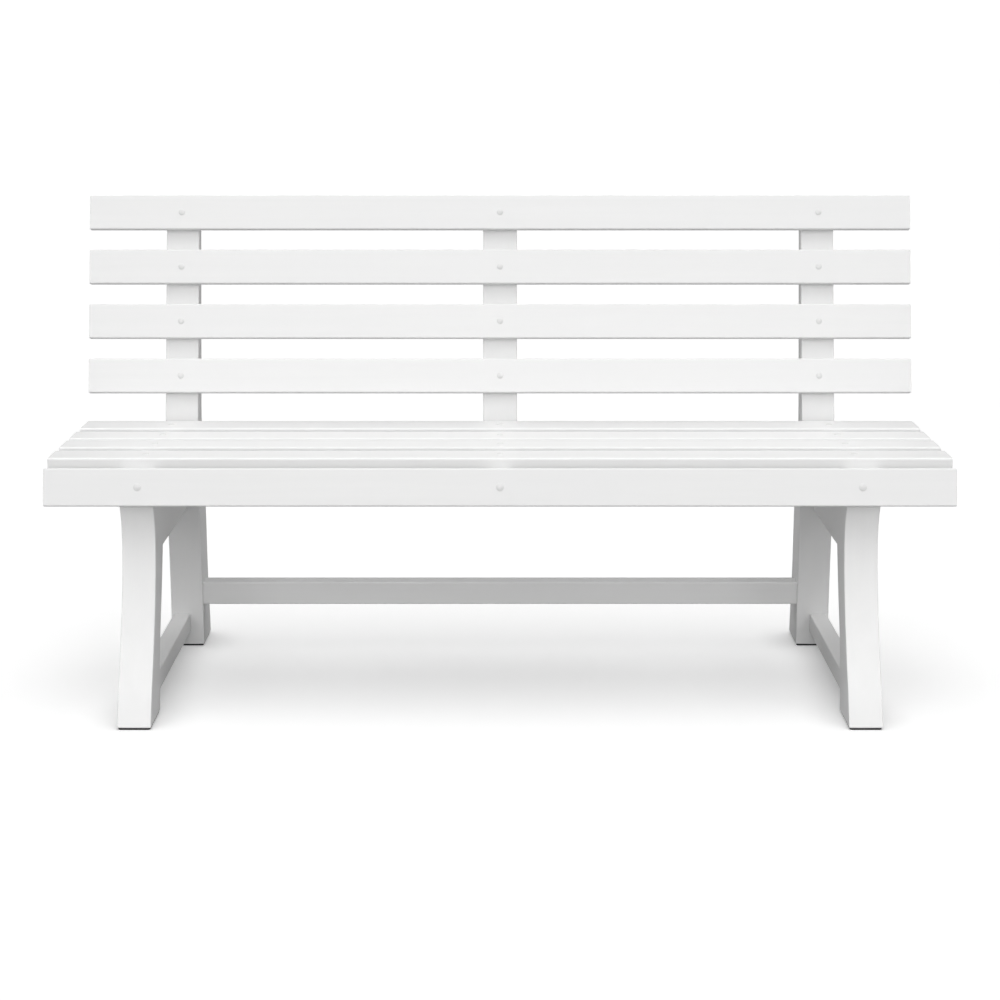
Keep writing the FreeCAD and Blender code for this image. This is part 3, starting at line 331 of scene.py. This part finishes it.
def coated_head(name, seed):
    """White-coated dome heads: slightly orange-peeled paint, scuffed at the rim."""
    m = Mat(name)
    free = m.space((1.0, 1.0, 1.0), (seed, seed * 2.0, 0.0))
    peel = m.noise(free, 700.0, detail=2.0)
    scuff = m.span(m.noise(free, 420.0, detail=4.0, rough=0.7), 0.56, 0.66, 0.0, 1.0)
    edge = m.edges(0.0008, 0.86, 0.99)
    worn = m.math("MULTIPLY", scuff, edge)
    base = m.mix(m.span(peel, 0.3, 0.7, 0.0, 1.0), (0.63, 0.63, 0.63), (0.67, 0.67, 0.665))
    base = m.mix(m.math("MULTIPLY", worn, 0.45), base, (0.42, 0.42, 0.41))
    m.link(base, m.bsdf.inputs["Base Color"])
    m.link(m.span(peel, 0.3, 0.7, 0.46, 0.58), m.bsdf.inputs["Roughness"])
    m.bsdf.inputs["Specular IOR Level"].default_value = 0.35
    m.link(m.bump(peel, 0.4, 0.00004), m.bsdf.inputs["Normal"])
    return m.mat


def zinc(name, axis):
    """Zinc-plated steel with turning marks and dull patches."""
    m = Mat(name)
    lines = tuple(1400.0 if i == axis else 60.0 for i in range(3))
    turned = m.noise(m.space(lines), 1.0, detail=2.0)
    patch = m.noise(m.space((1.0, 1.0, 1.0)), 180.0, detail=3.0)
    base = m.mix(m.span(patch, 0.35, 0.65, 0.0, 1.0), (0.56, 0.57, 0.58), (0.70, 0.70, 0.68))
    m.link(base, m.bsdf.inputs["Base Color"])
    m.bsdf.inputs["Metallic"].default_value = 1.0
    rough = m.math("ADD", m.span(patch, 0.3, 0.7, 0.26, 0.42),
                   m.span(turned, 0.3, 0.7, -0.03, 0.03))
    m.link(rough, m.bsdf.inputs["Roughness"])
    m.link(m.bump(turned, 0.3, 0.00003), m.bsdf.inputs["Normal"])
    return m.mat


def beech(name):
    m = Mat(name)
    grain = m.noise(m.space((600.0, 30.0, 600.0)), 1.0, detail=4.0, rough=0.6, distort=0.4)
    ray = m.span(m.cells(m.space((500.0, 120.0, 500.0)), 1.0), 0.0, 0.25, 1.0, 0.0)
    base = m.mix(m.span(grain, 0.3, 0.7, 0.0, 1.0), (0.50, 0.33, 0.19), (0.66, 0.48, 0.30))
    base = m.mix(m.math("MULTIPLY", ray, 0.3), base, (0.40, 0.25, 0.14))
    m.link(base, m.bsdf.inputs["Base Color"])
    m.link(m.span(grain, 0.3, 0.7, 0.55, 0.72), m.bsdf.inputs["Roughness"])
    m.link(m.bump(grain, 0.4, 0.00008), m.bsdf.inputs["Normal"])
    return m.mat


def rubber(name):
    """Black moulded glide pads, matte, dusty towards the ground."""
    m = Mat(name)
    free = m.space((1.0, 1.0, 1.0))
    grit = m.noise(free, 1300.0, detail=3.0, rough=0.65)
    dust = m.noise(free, 90.0, detail=4.0, rough=0.6)
    edge = m.edges(0.0010, 0.85, 0.99)
    base = m.mix(m.span(dust, 0.45, 0.75, 0.0, 1.0), (0.010, 0.010, 0.010), (0.028, 0.027, 0.026))
    base = m.mix(m.math("MULTIPLY", edge, 0.25), base, (0.05, 0.05, 0.05))
    m.link(base, m.bsdf.inputs["Base Color"])
    m.link(m.span(grit, 0.3, 0.7, 0.68, 0.88), m.bsdf.inputs["Roughness"])
    m.bsdf.inputs["Specular IOR Level"].default_value = 0.3
    m.link(m.bump(grit, 0.5, 0.00008), m.bsdf.inputs["Normal"])
    return m.mat


HEAD = coated_head("coated_head", 1.0)
ZINC_X = zinc("zinc_x", 0)
ZINC_Y = zinc("zinc_y", 1)
ZINC_Z = zinc("zinc_z", 2)
BEECH = beech("beech")
RUBBER = rubber("glide_rubber")


def finish_for(name, seed):
    if "screws" in name and not name.startswith("glide"):
        return HEAD
    if name.startswith("glide_screws"):
        return ZINC_Z
    if "glide" in name:
        return RUBBER
    if "dowel" in name:
        return BEECH
    if name.startswith("long_stretcher_b"):
        return ZINC_X
    if "bolt" in name or "nut" in name or "washer" in name:
        return ZINC_Y
    if "leg" in name or "upright" in name or name == "centre_post":
        return lumber("lumber_" + name, 2, seed)
    if "rail" in name or "side_stretcher" in name:
        return lumber("lumber_" + name, 1, seed)
    return lumber("lumber_" + name, 0, seed)


for i, name in enumerate(sorted(nodes)):
    obj = nodes[name]
    mat = finish_for(name, 1.0 + i * 0.618)
    if not obj.material_slots:
        obj.data.materials.append(mat)
    for slot in obj.material_slots:
        slot.material = mat
